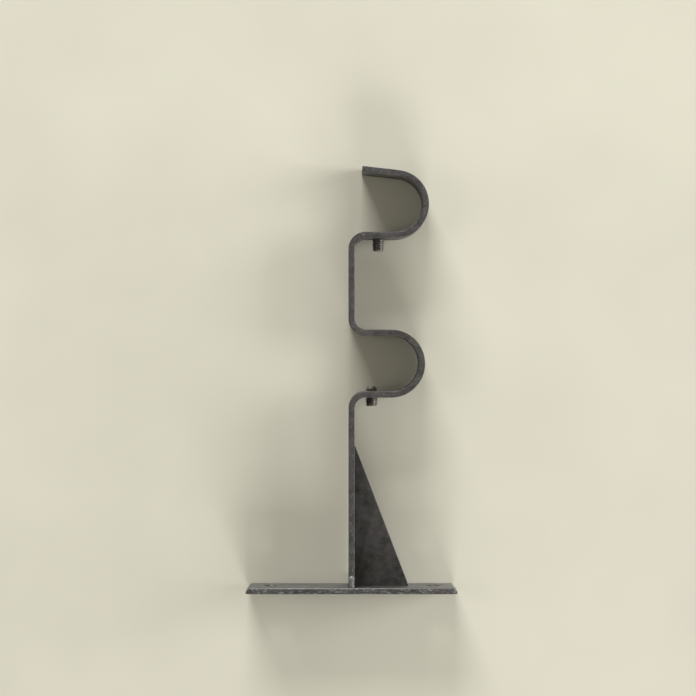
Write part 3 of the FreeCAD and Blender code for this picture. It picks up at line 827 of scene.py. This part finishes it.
# %% Melt puddles into a bead
def melt(puddles, grain, rounds):
    """One closed mesh from overlapping balls; each puddle is (centre, radii, tilt about Y)."""
    made = []
    for centre, radii, tilt in puddles:
        bpy.ops.mesh.primitive_uv_sphere_add(segments=24, ring_count=14, radius=1,
                                             location=centre, rotation=(0, tilt, 0))
        ball = bpy.context.object
        ball.scale = radii
        made.append(ball)
    bpy.ops.object.select_all(action="DESELECT")
    for ball in made:
        ball.select_set(True)
    bpy.context.view_layer.objects.active = made[0]
    bpy.ops.object.join()
    bead = made[0]
    settle(bead)
    apply_modifier(bead, "REMESH", mode="VOXEL", voxel_size=grain)
    apply_modifier(bead, "SMOOTH", factor=0.5, iterations=rounds)
    return bead


# %% [markdown]
# The two nuggets hold the arm's foot on both narrow edges. The near one is the shiny blob that
# the photo shows. Each row gives its puddles: place along the arm and half length in millimetres,
# then rise and width as shares of the weld's box.

# %% Nuggets on the arm's foot
NEAR_ROW = ((0.5, 1.2, 0.75, 0.85), (1.7, 1.1, 0.8, 0.8), (3.4, 1.55, 1.0, 1.0))
FAR_ROW = ((0.7, 1.3, 0.9, 1.0), (2.2, 1.3, 1.0, 0.9), (3.7, 1.3, 0.9, 0.95))
NUGGET_GRAIN = 0.11 * MM
for node, name, row in (("near_arm_weld", "near_nugget", NEAR_ROW),
                        ("far_arm_weld", "far_nugget", FAR_ROW)):
    low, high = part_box(node)
    side = 1 if low.y > 0 else -1
    root = side * STRIP_SIDE
    puddles = [((low.x + along * MM, root, (low.z + high.z) / 2),
                (length * MM, rise * (high.y - low.y), width * (high.z - low.z) / 2), 0.0)
               for along, length, rise, width in row]
    nugget = melt(puddles, NUGGET_GRAIN, rounds=8)
    trim(nugget, (0, root, 0), (0, -side, 0))
    trim(nugget, (low.x, 0, 0), (-1, 0, 0))
    finish_piece(nugget, name, painted_weld, "bracket", node, sharp=40)

# %% [markdown]
# Three short beads lie in the corners on the gusset's far side, two under the arm and one at the
# wall plate. Their puddles lean back along the bead, like a row of fallen coins.

# %% Beads along the gusset
GUSSET_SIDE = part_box("gusset")[1].y
PUDDLE_COUNT = 11
PUDDLE_SIZE, PUDDLE_DRIFT, PUDDLE_THICKNESS = 0.98, 0.10, 0.55  # as shares of the bead's leg
END_ROOM = 0.45  # from the bead's end to its first puddle's centre, as a share too
PUDDLE_LEAN = math.radians(25)
DRIFT_STEP = 1.7  # how far the noise moves on from puddle to puddle
BEAD_GRAIN = 0.1 * MM
for node in ("gusset_arm_weld_low", "gusset_arm_weld_high", "gusset_plate_weld"):
    low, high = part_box(node)
    upright = high.z - low.z > high.x - low.x
    length = (high.z - low.z) if upright else (high.x - low.x)
    leg = high.y - low.y
    thick = leg * PUDDLE_THICKNESS
    puddles = []
    for i in range(PUDDLE_COUNT):
        along = leg * END_ROOM + (length - leg * 2 * END_ROOM) * i / (PUDDLE_COUNT - 1)
        drift = noise.noise(Vector((i * DRIFT_STEP, low.x / MM, 0.5)))
        size = leg * (PUDDLE_SIZE + PUDDLE_DRIFT * drift)
        if upright:
            puddles.append(((low.x, GUSSET_SIDE, low.z + along), (size, size, thick),
                            PUDDLE_LEAN))
        else:
            puddles.append(((low.x + along, GUSSET_SIDE, high.z), (thick, size, size),
                            -PUDDLE_LEAN))
    bead = melt(puddles, BEAD_GRAIN, rounds=4)
    trim(bead, (0, GUSSET_SIDE, 0), (0, -1, 0))
    if upright:
        trim(bead, (low.x, 0, 0), (-1, 0, 0))
    else:
        trim(bead, (0, 0, high.z), (0, 0, 1))
    finish_piece(bead, node + "_bead", painted_weld, "bracket", node, sharp=40)

# %% [markdown]
# ## The frame's own pieces
# Every node of the frame is now replaced by a finished piece, but the frame's own meshes stay in
# the file. They get the same finishes, so that nothing is ever left bare.

# %% Materials on the frame's meshes
FINISHES = {"black_paint": black_paint, "painted_weld": painted_weld,
            "blackened_steel": blackened_steel}
for part in frame["record"]["subparts"]:
    node = nodes[part["node"]]
    node.data.materials.clear()
    node.data.materials.append(FINISHES[part["material_slot"]])

# %% [markdown]
# ## The studio
# The bracket lies on its side on a pale ground, seen from straight above. Its foot is wider than
# the strip, so it rests on the foot's far side and on the front cup, and the ground slopes a
# little against it. From behind the ground lets the camera through, and it never stops light on
# its way from a lamp, so that the far side can be seen and lit.

# %% Pale ground
CONTACT_GAP = 0.05 * MM
SPREAD = 1.5
GROUND_TONES = (0.62, 0.605, 0.505, 1), (0.66, 0.645, 0.540, 1)
FOOT_SIDE = cad_box[1][1]
SLOPE = (FOOT_SIDE - STRIP_SIDE) / strip_high.x


def ground_corner(x, z):
    """A point of the ground, which touches the foot's far side and the front cup's."""
    return (x, FOOT_SIDE + CONTACT_GAP - SLOPE * x, z)


def stage_plane(name, corners, material):
    """A flat stage piece from its four corners."""
    bpy.ops.mesh.primitive_plane_add(size=1)
    obj = bpy.context.object
    for vertex, corner in zip(obj.data.vertices, corners):
        vertex.co = corner
    obj.name = obj.data.name = name
    obj.data.materials.append(material)
    return obj


ground_material, tree, shader, place = new_material("pale_ground")
drift = noise_of(tree, in_millimetres(tree, place), 60.0, detail=2.0)
tree.links.new(blend_colours(tree, stretch(tree, drift, 0.3, 0.7), *GROUND_TONES),
               shader.inputs["Base Color"])
shader.inputs["Roughness"].default_value = 0.85
behind = tree.nodes.new("ShaderNodeNewGeometry")
ray = tree.nodes.new("ShaderNodeLightPath")
clear = tree.nodes.new("ShaderNodeBsdfTransparent")
passing = calculate(tree, "MAXIMUM", behind.outputs["Backfacing"], ray.outputs["Is Shadow Ray"])
sides = add_node(tree, "ShaderNodeMixShader", {0: passing})
tree.links.new(shader.outputs[0], sides.inputs[1])
tree.links.new(clear.outputs[0], sides.inputs[2])
tree.links.new(sides.outputs[0], tree.nodes["Material Output"].inputs[0])
ground = stage_plane("pale_ground", [ground_corner(x, z) for z in (-SPREAD, SPREAD)
                                     for x in (-SPREAD, SPREAD)], ground_material)
print("ground faces", [round(v) for v in ground.data.polygons[0].normal])

# %% [markdown]
# The camera stands where the photographer stood: 0.9 m from the bracket's near edge, looking
# along the poles, with the arm pointing up in the picture.

# %% Camera
NEAR_DISTANCE = 0.900
AIM_X, AIM_Z = 0.0996, 0.00146
camera_data = bpy.data.cameras.new("camera")
camera_data.lens = 115.0
camera_data.sensor_width = 36.0
camera_data.clip_start = 0.01
camera = bpy.data.objects.new("camera", camera_data)
bpy.context.scene.collection.objects.link(camera)
camera.matrix_world = Matrix(((0, 1, 0, AIM_X), (0, 0, -1, strip_low.y - NEAR_DISTANCE),
                              (-1, 0, 0, AIM_Z), (0, 0, 0, 1)))
bpy.context.scene.camera = camera
print("camera at", [round(v, 3) for v in camera.location])

# %% [markdown]
# Soft light: four large softboxes stand round the picture, low enough to leave deep shade inside
# the cups. A fifth one stands behind the ground, for the far side.

# %% Softboxes
SOFTBOX_SIDE = 0.9
LIT_MIDDLE = Vector((0.09, 0, -0.005))
SOFTBOXES = {  # place in metres, power in watts
    "top_softbox": ((1.90, -0.62, 0.35), 46.0),
    "left_softbox": ((0.10, -1.40, 1.60), 5.5),
    "bottom_softbox": ((-1.75, -0.70, -0.35), 24.0),
    "right_softbox": ((0.30, -0.62, -1.90), 36.0),
    "rear_softbox": ((0.60, 1.50, -0.60), 14.0)}
for name, (place, power) in SOFTBOXES.items():
    lamp = bpy.data.lights.new(name, "AREA")
    lamp.shape = "SQUARE"
    lamp.size = SOFTBOX_SIDE
    lamp.energy = power
    light = bpy.data.objects.new(name, lamp)
    bpy.context.scene.collection.objects.link(light)
    light.location = place
    light.rotation_euler = (LIT_MIDDLE - Vector(place)).to_track_quat("-Z", "Y").to_euler()
print("softboxes:", ", ".join(SOFTBOXES))

# %% [markdown]
# The room itself is dim and warm. It is the world's background, so it lights every side alike.

# %% Room light
world = bpy.data.worlds.new("studio")
world.use_nodes = True
background = world.node_tree.nodes["Background"]
background.inputs["Color"].default_value = (1.0, 0.91, 0.74, 1)
background.inputs["Strength"].default_value = 0.21
bpy.context.scene.world = world
bpy.context.scene.view_settings.view_transform = "Standard"
print("room light:", round(background.inputs["Strength"].default_value, 2))
